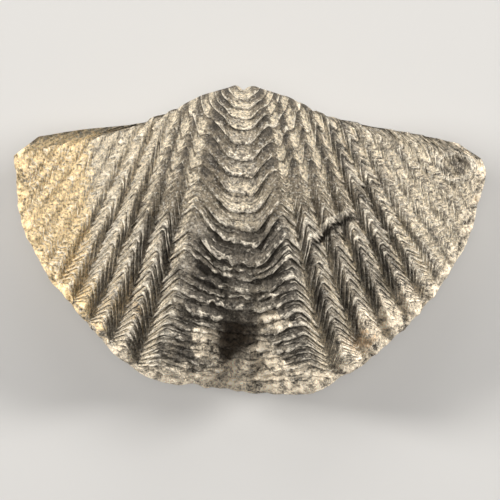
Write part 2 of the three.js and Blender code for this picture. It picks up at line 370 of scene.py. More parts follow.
@dataclass(frozen=True)
class ShellForm:
    """The large shape of both valves, by the construction model's formula.

    The chipped margin, the crests on the beak and its fuller shoulders are added to it here.

    Args:
        beak: Where the pedicle valve starts to grow.
        lower_beak: Where the brachial valve starts to grow.
        left_fan: Half-angle of the fan of growth on the left, in degrees.
        right_fan: The same on the right.
        wing_height: Height of the commissure on the wings.
        tongue_drop: How far the commissure dips at the front.
        pedicle_depth: Height of the pedicle valve over the commissure.
        brachial_depth: Depth of the brachial valve under it.
        beak_share: Height of the beak, as a share of the pedicle valve's depth.
        rib_relief: Height of the ribs at the front.
        sulcus_depth: Depth of the sulcus at the front.
        fold_height: Height of the fold that faces it, underneath.
        belly_breadth: How far the flat of the brachial valve reaches out to its sides.
    """

    beak: tuple[float, float, float] = (-0.26, 8.76, 6.36)
    lower_beak: tuple[float, float, float] = (-0.26, 7.0, 3.7)
    left_fan: float = 77.8
    right_fan: float = 76.6
    wing_height: float = 4.4
    tongue_drop: float = 1.7
    pedicle_depth: float = 4.9
    brachial_depth: float = 4.4
    beak_share: float = 0.4
    rib_relief: float = 0.55
    sulcus_depth: float = 1.25
    fold_height: float = 0.2
    belly_breadth: float = 1.4
    margin: MarginCurve = MarginCurve()
    ribs: RibPlan = RibPlan()

    def limit(self, angle: Array) -> Array:
        """The half-angle of the fan on the side on which an angle lies, in degrees."""
        return np.where(angle < 0, self.left_fan, self.right_fan)

    def aside(self, angle: Array) -> Array:
        """How far out an angle lies in its half of the fan, squared: 0 ahead, 1 on the edge."""
        return np.clip(np.abs(angle) / self.limit(angle), 0.0, 1.0) ** 2

    def margin_points(self, angle: Array) -> tuple[Array, Array, Array]:
        """The margin: its outline in plan, with a tongue dipping in front and ribs interlocking."""
        radius = self.margin.radius(angle)
        x = self.beak[0] + radius * np.sin(np.radians(angle))
        y = self.beak[1] - radius * np.cos(np.radians(angle))
        label = self.ribs.label(x, y)
        tongue = self.tongue_drop * self.ribs.sulcus(label)
        return x, y, self.wing_height - tongue + 0.3 * self.ribs.wave(label, 0.8)

    def along_rib(self, shape: Shape, angle: Array, growth: Array, place: Array) -> Array:
        """The angle at which the rib through a point reaches another growth.

        It is found with four steps of Newton's method on the rib's label.

        Args:
            shape: Function of angle and growth that gives positions.
            angle: Angles of the points.
            growth: Growth of the points.
            place: Growth to be reached.

        Returns:
            Angles, kept inside the fan.
        """
        start = shape(angle, growth)
        target = self.ribs.label(start[:, 0], start[:, 1])
        found = angle
        for _ in range(4):
            here, beside = shape(found, place), shape(found + 0.05, place)
            label = self.ribs.label(here[:, 0], here[:, 1])
            slope = (self.ribs.label(beside[:, 0], beside[:, 1]) - label) / 0.05
            found = found - np.clip((label - target) / np.maximum(slope, 1e-3), -4.0, 4.0)
            found = np.clip(found, mix(angle, -self.left_fan, 0.75), mix(angle, self.right_fan, 0.75))
        return found

    def hinge_dip(self, angle: Array, growth: Array) -> Array:
        """How far the hinge curves in beside the umbo: a bell along it, fading to the front."""
        depth = np.where(angle < 0, 0.45, 0.35)
        halfway = 4.0 * growth * (1.0 - growth) * bell(growth, 0.46, 0.3)
        return depth * halfway * self.aside(angle) ** 1.5

    def chips(self, angle: Array, growth: Array, x_rim: Array, y_rim: Array) -> tuple[Array, Array]:
        """How far the worn margin is moved along X and Y by its chips, only along its very edge."""
        rim = np.stack([x_rim, y_rim, 0.0 * x_rim], axis=-1)
        reach = 0.22 * LatticeNoise(71).layered(rim, 0.9) * growth**14
        return reach * np.sin(np.radians(angle)), -reach * np.cos(np.radians(angle))

    def beak_crests(self, x: Array, aside: Array, growth: Array) -> Array:
        """How far two small crests stand back on the beak, and the shoulders beside them."""
        off = x - self.beak[0]
        crests = bell(np.abs(off - 0.08), 0.62, 0.24) - 0.6 * bell(off, 0.0, 0.25)
        shoulders = bell(growth, 0.2, 0.09) * smooth(aside, 0.15, 0.7)
        return 0.13 * crests * np.exp(-growth / 0.05) + 0.24 * shoulders * (1.0 - aside) ** 0.1

    @staticmethod
    def swell(growth: Array, amount: float, reach: float) -> Array:
        """How far an umbo swells backwards: a quick rise from the beak, then a bell-like fall."""
        rise = 1.0 - np.exp(-growth / 0.02)
        return amount * rise * np.exp(-((growth / reach) ** 1.9)) * (1.0 - growth)

    def pedicle(self, angle: Array, growth: Array) -> Array:
        """The pedicle valve without its plates.

        Each growth line is the margin scaled towards the beak, and swollen backwards near it. The
        height blends a high crown, in the middle of the fan, into a low shoulder on its edge, and
        adds the ribs and the sulcus, which both deepen as the shell grows.

        Args:
            angle: Angles of the points, in degrees from straight ahead.
            growth: Growth of the points, from 0 at the beak to 1 at the margin.

        Returns:
            Positions, three values for each point.
        """
        x_rim, y_rim, z_rim = self.margin_points(angle)
        aside = self.aside(angle)
        head = 1.0 - (1.0 - self.beak_share) * np.exp(-growth / 0.07)
        crown = (1.0 - growth**2.5) ** 0.82 * head
        shoulder = self.beak_share * (1.0 - growth) ** 1.2
        arch = (1.0 - aside) ** mix(0.55, 1.4, smooth(growth, 0.05, 0.4))
        x = mix(self.beak[0], x_rim, growth)
        umbo = self.swell(growth, 0.62, 0.5) * (1.0 - aside) ** 0.15
        y = mix(self.beak[1], y_rim, growth) + umbo - self.hinge_dip(angle, growth)
        y = y + self.beak_crests(x, aside, growth)
        chip_x, chip_y = self.chips(angle, growth, x_rim, y_rim)
        x, y = x + chip_x, y + chip_y
        label = self.ribs.label(x, y)
        fade = 1.0 - growth**12
        sulcus = self.ribs.sulcus(label) * self.sulcus_depth * growth**0.8 * fade
        relief = self.rib_relief * (0.25 * smooth(growth, 0, 0.2) + 0.75 * smooth(growth, 0.2, 0.75))
        ribs = self.ribs.wave(label, RIB_SHARPNESS) * relief * fade
        ground = mix(self.wing_height, z_rim, growth**3)
        z = ground + self.pedicle_depth * mix(shoulder, crown, arch) + ribs - sulcus
        return np.stack([x, y, z], axis=-1)

    def brachial(self, angle: Array, growth: Array) -> Array:
        """The brachial valve without its growth steps: a belly under each line from its beak."""
        x_rim, y_rim, z_rim = self.margin_points(angle)
        aside = self.aside(angle)
        belly = (1.0 - growth**2.4) ** 0.8 * (1.0 - np.exp(-growth / 0.11))
        x = mix(self.lower_beak[0], x_rim, growth)
        y = mix(self.lower_beak[1], y_rim, growth)
        y = y + self.swell(growth, 0.7, 0.16) * np.sqrt(1.0 - aside) - 0.5 * self.hinge_dip(angle, growth)
        chip_x, chip_y = self.chips(angle, growth, x_rim, y_rim)
        x, y = x + chip_x, y + chip_y
        label = self.ribs.label(x, y)
        fade = 1.0 - growth**12
        fold = self.ribs.sulcus(label) * self.fold_height * growth**0.8 * fade
        ribs = self.ribs.wave(label, RIB_SHARPNESS) * 0.8 * self.rib_relief * smooth(growth, 0.3, 0.9) * fade
        tongue = (self.wing_height - z_rim) * growth**3
        ground = mix(self.lower_beak[2], self.wing_height, growth**0.7) - tongue
        arch = 1.0 - aside**self.belly_breadth
        z = ground - self.brachial_depth * belly * arch + ribs - fold
        return np.stack([x, y, z], axis=-1)


def surface_frame(shape: Shape, angle: Array, growth: Array, outward: float) -> tuple[Array, Array]:
    """The outward normal and the direction of growth of a surface, from small differences.

    Args:
        shape: Function of angle and growth that gives positions.
        angle: Angles of the points.
        growth: Growth of the points.
        outward: 1 or -1, which turns the normal out of the fossil.

    Returns:
        Unit normals and unit growth directions.
    """
    step_angle, step_growth = 0.15, 0.002
    low, high = np.clip(growth - step_growth, 0.001, 1), np.clip(growth + step_growth, 0.003, 1)
    across = shape(angle + step_angle, np.maximum(growth, 0.002)) - shape(
        angle - step_angle, np.maximum(growth, 0.002)
    )
    along = shape(angle, high) - shape(angle, low)
    normal = np.cross(along, across) * outward
    normal /= np.maximum(np.linalg.norm(normal, axis=1, keepdims=True), 1e-12)
    along /= np.maximum(np.linalg.norm(along, axis=1, keepdims=True), 1e-12)
    return normal, along


@dataclass(frozen=True)
class PedicleValve:
    """The upper valve: broad ribs crossed by overlapping growth plates, worn and chipped.

    Args:
        form: The large shape of the shell.
        fronts: Where the plates end on the middle line, in millimetres along Y.
        halts: Plates that end in a high step, by their front, and how much higher it is.
        folds: Fine folds in each plate.
        shares: Places of the mesh's rings in a fold.
    """

    form: ShellForm
    fronts: tuple[float, ...] = (
        8.60, 8.05, 7.50, 6.92, 6.31, 5.51, 4.57, 3.65, 2.78, 1.63, 0.71, -0.04, -1.09, -1.61,
        -2.08, -2.77, -3.10, -3.73, -4.60, -5.2, -5.75, -6.3, -6.8, -7.25, -7.65, -8.0, -8.3,
    )
    halts: tuple[tuple[float, float], ...] = ((0.71, 0.9), (-2.08, 1.0), (-3.73, 0.7), (-4.6, 0.8))
    folds: int = 2
    shares: tuple[float, ...] = (0.03, 0.30, 0.64, 0.93)

    def base(self, angle: Array, growth: Array) -> Array:
        """The valve's large shape."""
        return self.form.pedicle(angle, growth)

    def calendar(self) -> GrowthCalendar:
        """The calendar of the plates, read off the middle line of this valve."""
        growth = np.linspace(0.03, 1.0, 800)
        ahead = np.full_like(growth, -0.5)
        place = np.clip(growth - self.lag(ahead, growth), 0.0, 1.0)
        line = np.minimum.accumulate(self.form.pedicle(ahead, place)[:, 1])
        return GrowthCalendar.from_fronts(self.fronts, growth, line)

    def rings(self) -> Array:
        """The growth of each ring of the valve's mesh."""
        return self.calendar().rows(self.folds, self.shares)

    def lag(self, angle: Array, growth: Array) -> Array:
        """How far a growth line lags on the crests and leads in the troughs and the sulcus.

        The lag follows the ribs' own wave, sharp as a zigzag, and the sulcus pulls it forward.

        Args:
            angle: Angles of the points, in degrees.
            growth: Growth of the points.

        Returns:
            The lag along the rib, in shares of the whole growth.
        """
        base = self.form.pedicle(angle, growth)
        label = self.form.ribs.label(base[:, 0], base[:, 1])
        reach = 0.115 + 0.03 * smooth(np.abs(label), 4.0, 9.0)
        zigzag = reach * growth * smooth(growth, -0.05, 0.15) * self.form.ribs.wave(label, 0.97)
        tongue = 0.094 * smooth(growth, -0.15, 0.75) * smooth(growth, 0.0, 0.2)
        tongue *= 1.0 - 0.75 * smooth(growth, 0.42, 0.72)
        sulcus = self.form.ribs.sulcus(label)
        sulcus = mix(sulcus**1.8, 1.0 - (1.0 - sulcus) ** 1.9, smooth(growth, 0.2, 0.6))
        wobble = 0.007 * LatticeNoise(5).layered(base, 1.3)
        ragged = 0.005 + 0.006 * sulcus * smooth(growth, 0.4, 0.55)
        wobble += ragged * LatticeNoise(6).layered(base, 0.45, 2)
        lag = zigzag - tongue * sulcus + wobble * smooth(growth, 0.03, 0.2)
        return lag * (1.0 - growth**9) * self.inside(angle, growth, 0.5, 1.0, (0.12, 0.3))

    def inside(
        self, angle: Array, growth: Array, width: float, calm: float, ages: tuple[float, float]
    ) -> Array:
        """How freely the surface may depart from the large shape, so that the fan's edges close.

        Args:
            angle: Angles of the points, in degrees.
            growth: Growth of the points.
            width: Width of the fade beside the beak, as a share of the fan's half-angle.
            calm: How much the shoulders beside the beak are calmed.
            ages: The growth from which the calming ends, and at which it has ended.

        Returns:
            A share: 0 on the edges of the fan, and 1 well inside it.
        """
        fade = mix(width, 0.12, smooth(growth, 0.1, 0.4))
        edge = smooth(1.0 - np.abs(angle) / self.form.limit(angle), 0.0, fade)
        return edge * (1.0 - calm * (1.0 - smooth(growth, *ages)) * smooth(np.abs(angle), 26, 48))

    def skin(self, angle: Array, growth: Array) -> Skin:
        """The finished surface of the valve.

        Args:
            angle: Angles of the points, in degrees.
            growth: Growth of the rings that the points lie on.

        Returns:
            The points and their masks.
        """
        place = np.clip(growth - self.lag(angle, growth), 0.0, 1.0)
        angle = self.form.along_rib(self.form.pedicle, angle, growth, place)
        base = self.form.pedicle(angle, place)
        normal, along = surface_frame(self.form.pedicle, angle, place, 1.0)
        x, y = base[:, 0], base[:, 1]
        label = self.form.ribs.label(x, y)
        wave = self.form.ribs.wave(label, RIB_SHARPNESS)
        sulcus = self.form.ribs.sulcus(label)
        plate, share = self.calendar().phase(growth)
        fold_share = (share * self.folds) % 1.0
        coarse = LatticeNoise(3).layered(base, 1.1)
        ragged = LatticeNoise(8).layered(base, 0.4)
        strength = np.random.default_rng(21).uniform(0.75, 1.25, len(self.fronts) + 1)
        for front, extra in self.halts:
            strength[self.fronts.index(front)] += extra
        halting = np.exp(-((label + 0.5) / 4.5) ** 4)
        strength = mix(1.0, strength[plate], halting)

        wings = smooth(np.abs(label), 10.0, 15.0)
        band = smooth(y, 0.6, 2.6) * (1 - smooth(y, 5.4, 6.6)) * (1 - smooth(np.abs(label), 7.5, 10.5))
        worn = band * (1.0 - sulcus)
        lap = smooth(y + 0.09 * np.abs(x - 0.5) ** 1.5 + 0.9 * coarse, -6.4, -7.3)
        fill = blob(x, y, (-2.3, -6.0), (1.1, 1.1)) + blob(x, y, (1.3, -4.7), (1.0, 0.6))
        fill = smooth(fill + blob(x, y, (1.0, -6.4), (0.9, 0.8)) + 0.5 * coarse, 0.35, 0.8)
        corner = smooth(growth + 0.04 * coarse, 0.84, 0.92) * blob(angle, 0 * x, (30, 0), (12, 1))
        mud = np.maximum(smooth(growth + 0.03 * coarse, 0.94, 0.99), np.maximum(lap, corner))
        mud = np.maximum(mud, 0.75 * fill)
        plates = strength * (0.13 + 0.06 * sulcus) * smooth(growth, 0.0, 0.12)
        plates *= (1 - 0.8 * worn) * (1 - 0.7 * wings) * (1 - 0.8 * mud) * (1 + 0.9 * ragged)
        plates *= 1 - 0.6 * (1 - smooth(growth, 0.1, 0.35)) * smooth(np.abs(angle), 20, 45)
        broad = sulcus * smooth(growth, 0.4, 0.55)
        plates = np.minimum(plates * (1 + 1.2 * broad), PLATE_LIMIT)
        fine = 0.075 * smooth(growth, 0.2, 0.5) * (1 - 0.6 * wings) * (1 - 0.7 * worn)
        fine *= (1 - 0.7 * mud) * (1 + 0.8 * ragged) * (1 - 0.75 * broad)
        gaps = smooth(LatticeNoise(23).layered(base, 0.8), -0.28, 0.26)
        fine *= 0.4 + 1.1 * gaps
        lift = plates * share**1.8 + fine * fold_share**1.5
        reach = 0.5 * plates * share**6 + 0.5 * fine * fold_share**6
        grain = LatticeNoise(13).layered(base, 0.36)
        lumps = LatticeNoise(17).layered(base, 0.65)
        rough = 0.045 * coarse + (0.05 + 0.05 * wings + 0.10 * mud) * grain + 0.32 * mud * lumps
        lift = lift + rough * smooth(growth, 0.0, 0.1)
        ridges = bell(angle, 1.0, 1.5) + 0.8 * bell(angle, -10.0, 1.6)
        lift = lift + 0.13 * ridges * smooth(growth, 0.5, 0.7) * sulcus
        oval = np.hypot((x - 12.2) / 1.1, (y - 4.4) / 0.8) + 0.25 * coarse
        scar = bell(oval, 1.0, 0.16)
        lift = lift + 0.14 * scar - 0.08 * (1 - smooth(oval, 0.5, 0.9))
        edge = self.inside(angle, growth, 0.3, 0.8, (0.1, 0.25))
        closing = (1.0 - smooth(growth, 0.985, 1.0)) * mix(edge, 1.0, smooth(growth, 0.3, 0.6))
        reach = reach * smooth(growth, 0.02, 0.25)
        points = base + (normal * lift[:, None] + along * reach[:, None]) * closing[:, None]

        hollow = blob(x, y, (-0.6, -5.4), (1.45, 1.3)) + 0.6 * blob(x, y, (-1.3, -6.5), (0.5, 0.8))
        pit = blob(x, y, (-0.6, -5.5), (0.85, 0.8)) + 0.5 * blob(x, y, (-1.3, -6.5), (0.4, 0.7))
        points[:, 2] -= 0.25 * np.clip(hollow, 0, 1) + 0.7 * np.clip(pit, 0, 1)
        right, back = x - CRACK_START[0], y - CRACK_START[1]
        along_crack = right * CRACK_ALONG[0] + back * CRACK_ALONG[1]
        off_crack = -right * CRACK_ALONG[1] + back * CRACK_ALONG[0]
        off_crack = off_crack + 0.1 * np.sin(3.1 * along_crack) + 0.08 * coarse
        crack = smooth(along_crack, -0.2, 0.3) * (1 - smooth(along_crack, 2.6, 3.1))
        gash = crack * bell(off_crack, -0.10, 0.15)
        brow = crack * bell(off_crack, 0.18, 0.13)
        points[:, 2] += 0.24 * brow - 0.45 * gash

        # Which way each rib slope faces: outward slopes are given painted light, inward slopes painted
        # shade.
        outer = np.clip(self.form.ribs.facing(label, np.where(label > 0, 0.17, -0.02)), 0, 1)
        inner = np.clip(-self.form.ribs.facing(label, np.where(label > 0, 0.03, -0.06)), 0, 1)
        low = 1 - smooth(y, -0.5, 2.2)
        flank = (1 - sulcus) * (0.4 + 0.6 * low)
        # Lighter towards the left wing: less dark tone and less painted shade there.
        paler_left_flank = smooth(-label, 6.8, 10.5)
        # Painted highlights along the free edges of the plates and folds, and painted shade just behind each
        # step.
        lip_highlight = share**6 * (1 - 0.8 * worn) * (1 - 0.4 * wings)
        folds = smooth(growth, 0.25, 0.5) * (1 - 0.5 * wings) * (1 - 0.6 * worn) * (1 - 0.8 * broad)
        lip_highlight = lip_highlight + 0.8 * fold_share**5 * folds
        lip_highlight = lip_highlight * (1 - 0.5 * inner * flank) * (1 - 0.5 * smooth(hollow, 0.2, 0.7))
        shade = np.exp(-share / mix(0.09, 0.2, broad)) * smooth(growth, 0.01, 0.05) * (0.6 + 0.4 * strength)
        shade = shade + 0.8 * np.exp(-fold_share / 0.16) * folds
        shade = shade * (1 - (0.45 * outer + 0.45 * inner) * flank) * (1 - 0.72 * paler_left_flank)
        lip_highlight, shade = lip_highlight * (0.15 + 1.1 * gaps), shade * (1.2 - 0.9 * gaps)
        shade = shade + 0.55 * broad * np.exp(-share / 0.16)
        mottle = LatticeNoise(29).layered(np.stack([label, 7.0 * growth, 0 * x], axis=-1), 0.55, 3)
        trough = np.clip(0.5 - wave, 0, 1)
        upper = smooth(y, 2.6, 4.6)
        tongues = 1.4 * upper * smooth(trough, 0.3, 0.8) * smooth(share, 0.15, 0.45) * (1 - wings)
        # Cream on the sulcus floor, lighter towards each plate's free edge as painted light.
        floor = sulcus**3 * smooth(y, -1.0, 1.2) * (0.32 + 0.68 * smooth(y, 5.4, 7.6))
        floor = floor + 0.45 * sulcus**2 * smooth(y, -1.6, 0.4) * (1 - smooth(y, 2.4, 4.0))
        floor = floor * (0.45 + 0.55 * smooth(share, 0.15, 0.7))
        cream_and_painted_light = np.maximum(tongues, floor)
        # Painted light on the outward slopes of the ribs.
        cream_and_painted_light = np.maximum(cream_and_painted_light, 0.95 * outer * flank * (0.7 + 0.3 * share))
        cream_and_painted_light = cream_and_painted_light + 0.85 * paler_left_flank * (1 - 0.5 * inner) + 0.5 * flank * smooth(-mottle, 0.05, 0.35)
        # Painted light on the upper parts of the broad plates in the sulcus.
        cream_and_painted_light = cream_and_painted_light + 0.5 * broad * smooth(share, 0.45, 0.95) * (1 - np.clip(hollow, 0, 1))
        # Darker on the inward slopes of the ribs as painted shade, and darker low in the sulcus.
        dark_tone_and_shade = flank * 0.4 * inner + low * sulcus * (0.6 - 0.25 * broad) * (1 - smooth(growth, 0.8, 0.9))
        beside = blob(label, 0 * x, (3.1, 0), (0.7, 1))
        dark_tone_and_shade = dark_tone_and_shade + 0.4 * broad * smooth(-label, 0.5, 1.6) + 0.35 * low * beside
        cream_and_painted_light = cream_and_painted_light + 0.4 * broad * smooth(label, 0.2, 1.2)
        dark_tone_and_shade = dark_tone_and_shade + 0.75 * smooth(mottle, 0.02, 0.35) * np.maximum(0.65 * flank, wings)
        dark_tone_and_shade = dark_tone_and_shade + 1.1 * upper * np.clip(wave + 0.1, 0, 1) * (1 - sulcus) * (1 - smooth(share, 0.4, 0.9))
        # Painted shade in the hollows between the lumps of mud.
        lump_hollow_shade = mud * smooth(-lumps - 0.6 * grain, 0.06, 0.4)
        dark_tone_and_shade = dark_tone_and_shade + 0.5 * low * np.clip(wave + 0.1, 0, 1) * (1 - smooth(np.abs(label), 4.5, 7.0))
        dark_tone_and_shade = dark_tone_and_shade * (1 - mud) * (1 - 0.45 * wings) * (1 - 0.88 * paler_left_flank)
        tan_wing = smooth(-x, 8.2, 10.4) * smooth(y + 0.35 * x, -10.5, -6.0)
        masks = {
            "cream_and_painted_light": cream_and_painted_light + 0.6 * wings * np.where(x < 0, smooth(-x, 8.4, 10.4), 0.8),
            "umber": smooth(y, 0.0, 2.2) * (1 - smooth(np.abs(label), 8.0, 11.0)) * (1 - 0.8 * sulcus**3),
            # Painted shade in the crack and inside the sunken oval, and painted highlights on the crack's
            # brow and the oval's ridge.
            "dark_tone_and_shade": dark_tone_and_shade * (1 - brow) + 0.5 * lump_hollow_shade + 1.8 * gash + 0.45 * (1 - smooth(oval, 0.4, 0.9)),
            "ochre": tan_wing + 0.45 * blob(x, y, (-7.6, -3.6), (2.2, 1.7)),
            "mud": 1.2 * mud,
            "lip_highlight": lip_highlight * (1 - mud) + 2.2 * brow + 0.7 * scar,
            "shade": shade * (1 - mud) * (1 - 0.7 * worn) * (1 - 0.4 * wings) * (1 - brow) + 0.9 * gash,
            "rust": blob(x, y, (6.5, -5.9), (0.75, 0.5)) + 0.5 * blob(x, y, (-6.5, -4.0), (0.5, 0.8)),
            # Painted shade in the hollow of the sulcus.
            "pit": 0.8 * np.clip(hollow, 0, 1),
        }
        return Skin(points, np.stack([label, 17.0 * growth, 3.7 * plate], axis=-1), masks)


@dataclass(frozen=True)
class BrachialValve:
    """The lower valve: a fold, ribs and fainter growth steps, worn flat where it rests."""

    form: ShellForm
    calendar: GrowthCalendar = GrowthCalendar(tuple(np.linspace(0, 1, 25) ** 1.15))
    rows: int = 60

    def base(self, angle: Array, growth: Array) -> Array:
        """The valve's large shape."""
        return self.form.brachial(angle, growth)

    def rings(self) -> Array:
        """The growth of each ring, closer together towards the margin, where the valve is seen."""
        share = np.linspace(0.0, 1.0, self.rows + 1)
        return 1.0 - (1.0 - share) ** 1.35

    def skin(self, angle: Array, growth: Array) -> Skin:
        """The finished surface of the valve, with soft steps in place of free plates."""
        base = self.form.brachial(angle, growth)
        normal, _ = surface_frame(self.form.brachial, angle, growth, -1.0)
        x, y = base[:, 0], base[:, 1]
        label = self.form.ribs.label(x, y)
        wave = self.form.ribs.wave(label, RIB_SHARPNESS)
        coarse = LatticeNoise(41).layered(base, 1.2)
        grain = LatticeNoise(43).layered(base, 0.4)
        steps = growth + 0.05 * growth * wave + 0.006 * coarse
        _, share = self.calendar.phase(np.clip(steps, 0, 1) * 0.999)
        closing = (1.0 - smooth(growth, 0.96, 1.0)) * smooth(growth, 0.0, 0.1)
        lift = (0.09 * share**1.5 + 0.05 * coarse + 0.03 * grain) * closing
        points = base + normal * lift[:, None]
        wings = smooth(np.abs(label), 9.0, 13.5)
        # Lighter towards each step's free edge as painted light, with a painted highlight on the edge and
        # painted shade behind it.
        masks = {
            "cream_and_painted_light": 0.5 * share + 0.4 * wings,
            "umber": 0.6 * smooth(coarse, -0.1, 0.4) * (1 - wings),
            "dark_tone_and_shade": 0.5 * np.clip(wave + 0.1, 0, 1) * (1 - wings),
            "ochre": smooth(-x, 7.4, 10.5),
            "mud": smooth(growth, 0.93, 1.0),
            "lip_highlight": 0.5 * share**10,
            "shade": 0.7 * np.exp(-share / 0.1) * closing,
        }
        return Skin(points, np.stack([label, 17.0 * steps, 0.0 * x], axis=-1), masks)


@dataclass(frozen=True)
class Interarea:
    """The wall behind, from the shoulder of the pedicle valve down to the hinge and below it."""

    form: ShellForm
    columns: int = 110
    lines: int = 13

    def skin(self, column: Array, across: Array) -> Skin:
        """The wall's surface.

        It is the straight blend between the edges of the two fans, hollowed towards the middle,
        with fine lines along the hinge and a mud-filled triangle, the delthyrium, under the beak.

        Args:
            column: Place along the wall, from -1 on the right wing to 1 on the left.
            across: Place down the wall, from 0 on the upper shoulder to 1 on the lower one.

        Returns:
            The points and their masks.
        """
        angle = np.where(column < 0, self.form.right_fan, -self.form.left_fan)
        growth = np.abs(column) ** 1.4
        upper = self.form.pedicle(angle, growth)
        lower = self.form.brachial(angle, growth)
        points = mix(upper, lower, across[:, None])
        hollow = 0.35 * np.sin(np.pi * across) * (1.0 - growth)
        hinge = 0.10 * bell(across, HINGE_LINE, 0.05) * (1.0 - growth**2)
        gate = smooth(0.15 + 0.75 * across - np.abs(points[:, 0] - self.form.beak[0]), -0.06, 0.06)
        gate = gate * smooth(across, 0.08, 0.16) * (1 - smooth(across, 0.84, 0.9))
        grain = LatticeNoise(51).layered(points, 0.35)
        striae = 0.02 * np.sin(2 * np.pi * 9 * across) * np.sin(np.pi * across)
        inset = hollow + hinge + 0.14 * gate + striae * (1 - gate) + 0.04 * grain * np.sin(np.pi * across)
        points = points - np.stack([0 * inset, inset, 0 * inset], axis=-1)
        masks = {
            "cream_and_painted_light": 0.45 + 0.3 * grain,
            "umber": 0.5 * (1 - gate),
            # Painted shade along the groove of the hinge line.
            "dark_tone_and_shade": bell(across, HINGE_LINE, 0.06) + 0.35 * gate,
            "ochre": 0.5 * smooth(column, 0.6, 0.9),
            "mud": gate,
            "rust": 0.4 * gate,
        }
        return Skin(points, np.stack([points[:, 0], 3.0 * across, 0.0 * across], axis=-1), masks)


class Weaver:
    """Collects stretches of skin and weaves rings of their points into one closed mesh."""

    def __init__(self) -> None:
        """Starts with no points and no faces."""
        self.skins: list[Skin] = []
        self.faces: list[Array] = []
        self.points = np.zeros((0, 3))

    def add(self, skin: Skin) -> Array:
        """Adds points and returns their numbers."""
        numbers = np.arange(len(self.points), len(self.points) + len(skin.points))
        self.skins.append(skin)
        self.points = np.concatenate([self.points, skin.points])
        return numbers

    def strip(self, first: Array, second: Array, places: list[Array] | None = None) -> None:
        """Weaves two lines of points together.

        Every edge of one line forms a triangle with the point of the other line that lies nearest
        to its middle. Where two edges face each other, the shorter diagonal joins them.

        Args:
            first: Numbers of the points of the first line, from left to right when the outside of
                the fossil is up and the second line is above the first.
            second: Numbers of the points of the second line.
            places: How far along each point lies in its line; evenly spread if left out.
        """
        places = places or [np.linspace(0, 1, len(line)) for line in (first, second)]
        middles = [(place[1:] + place[:-1]) / 2 for place in places]
        facing = np.clip(np.searchsorted(places[0], middles[1]) - 1, 0, len(first) - 2)
        falling = self.points[first[facing]] - self.points[second[1:]]
        rising = self.points[first[facing + 1]] - self.points[second[:-1]]
        falls = np.linalg.norm(falling, axis=1) < np.linalg.norm(rising, axis=1)
        middles[1] = middles[1] + np.where(falls, -1e-7, 1e-7)
        to_second = np.searchsorted(middles[1], middles[0])
        to_first = np.searchsorted(middles[0], middles[1], side="right")
        lower = np.stack([first[:-1], first[1:], second[to_second]], axis=1)
        upper = np.stack([second[1:], second[:-1], first[to_first]], axis=1)
        faces = np.concatenate([lower, upper])
        flat = (
            (faces[:, 0] == faces[:, 1]) | (faces[:, 1] == faces[:, 2]) | (faces[:, 2] == faces[:, 0])
        )
        self.faces.append(faces[~flat])

    def mask(self, name: str) -> Array:
        """One mask of all the points, with 0 where a stretch of skin leaves it out."""
        return np.concatenate([skin.masks.get(name, np.zeros(len(skin.points))) for skin in self.skins])

    def mesh(self, name: str, points: Array) -> bpy.types.Mesh:
        """The woven mesh.

        Args:
            name: Name of the mesh.
            points: Positions in metres, in the order of the points' numbers.

        Returns:
            A mesh with smooth faces, and its masks as attributes of its points.
        """
        faces = np.concatenate(self.faces).astype(np.int32)
        mesh = bpy.data.meshes.new(name)
        mesh.vertices.add(len(points))
        mesh.vertices.foreach_set("co", points.astype(np.float32).ravel())
        mesh.loops.add(faces.size)
        mesh.loops.foreach_set("vertex_index", faces.ravel())
        mesh.polygons.add(len(faces))
        mesh.polygons.foreach_set("loop_start", np.arange(0, faces.size, 3, dtype=np.int32))
        mesh.polygons.foreach_set("use_smooth", np.ones(len(faces), dtype=bool))
        mesh.update(calc_edges=True)
        for mask in MASKS:
            attribute = mesh.attributes.new(mask, "FLOAT", "POINT")
            attribute.data.foreach_set("value", self.mask(mask).astype(np.float32))
        flow = np.concatenate([skin.flow for skin in self.skins])
        attribute = mesh.attributes.new("flow", "FLOAT_VECTOR", "POINT")
        attribute.data.foreach_set("vector", flow.astype(np.float32).ravel())
        mesh.validate()
        return mesh


@dataclass
class Fan:
    """The rings of one valve: the numbers of their points, and the ribs' labels there."""

    rings: list[Array]
    labels: list[Array]

    def weave(self, weaver: Weaver, outwards: bool) -> None:
        """Weaves neighbouring rings together.

        Args:
            weaver: The weaver that holds the points.
            outwards: Whether the outer ring comes first, as on the upper valve.
        """
        for inner in range(len(self.rings) - 1):
            pair = (inner + 1, inner) if outwards else (inner, inner + 1)
            weaver.strip(*(self.rings[k] for k in pair), places=[self.labels[k] for k in pair])


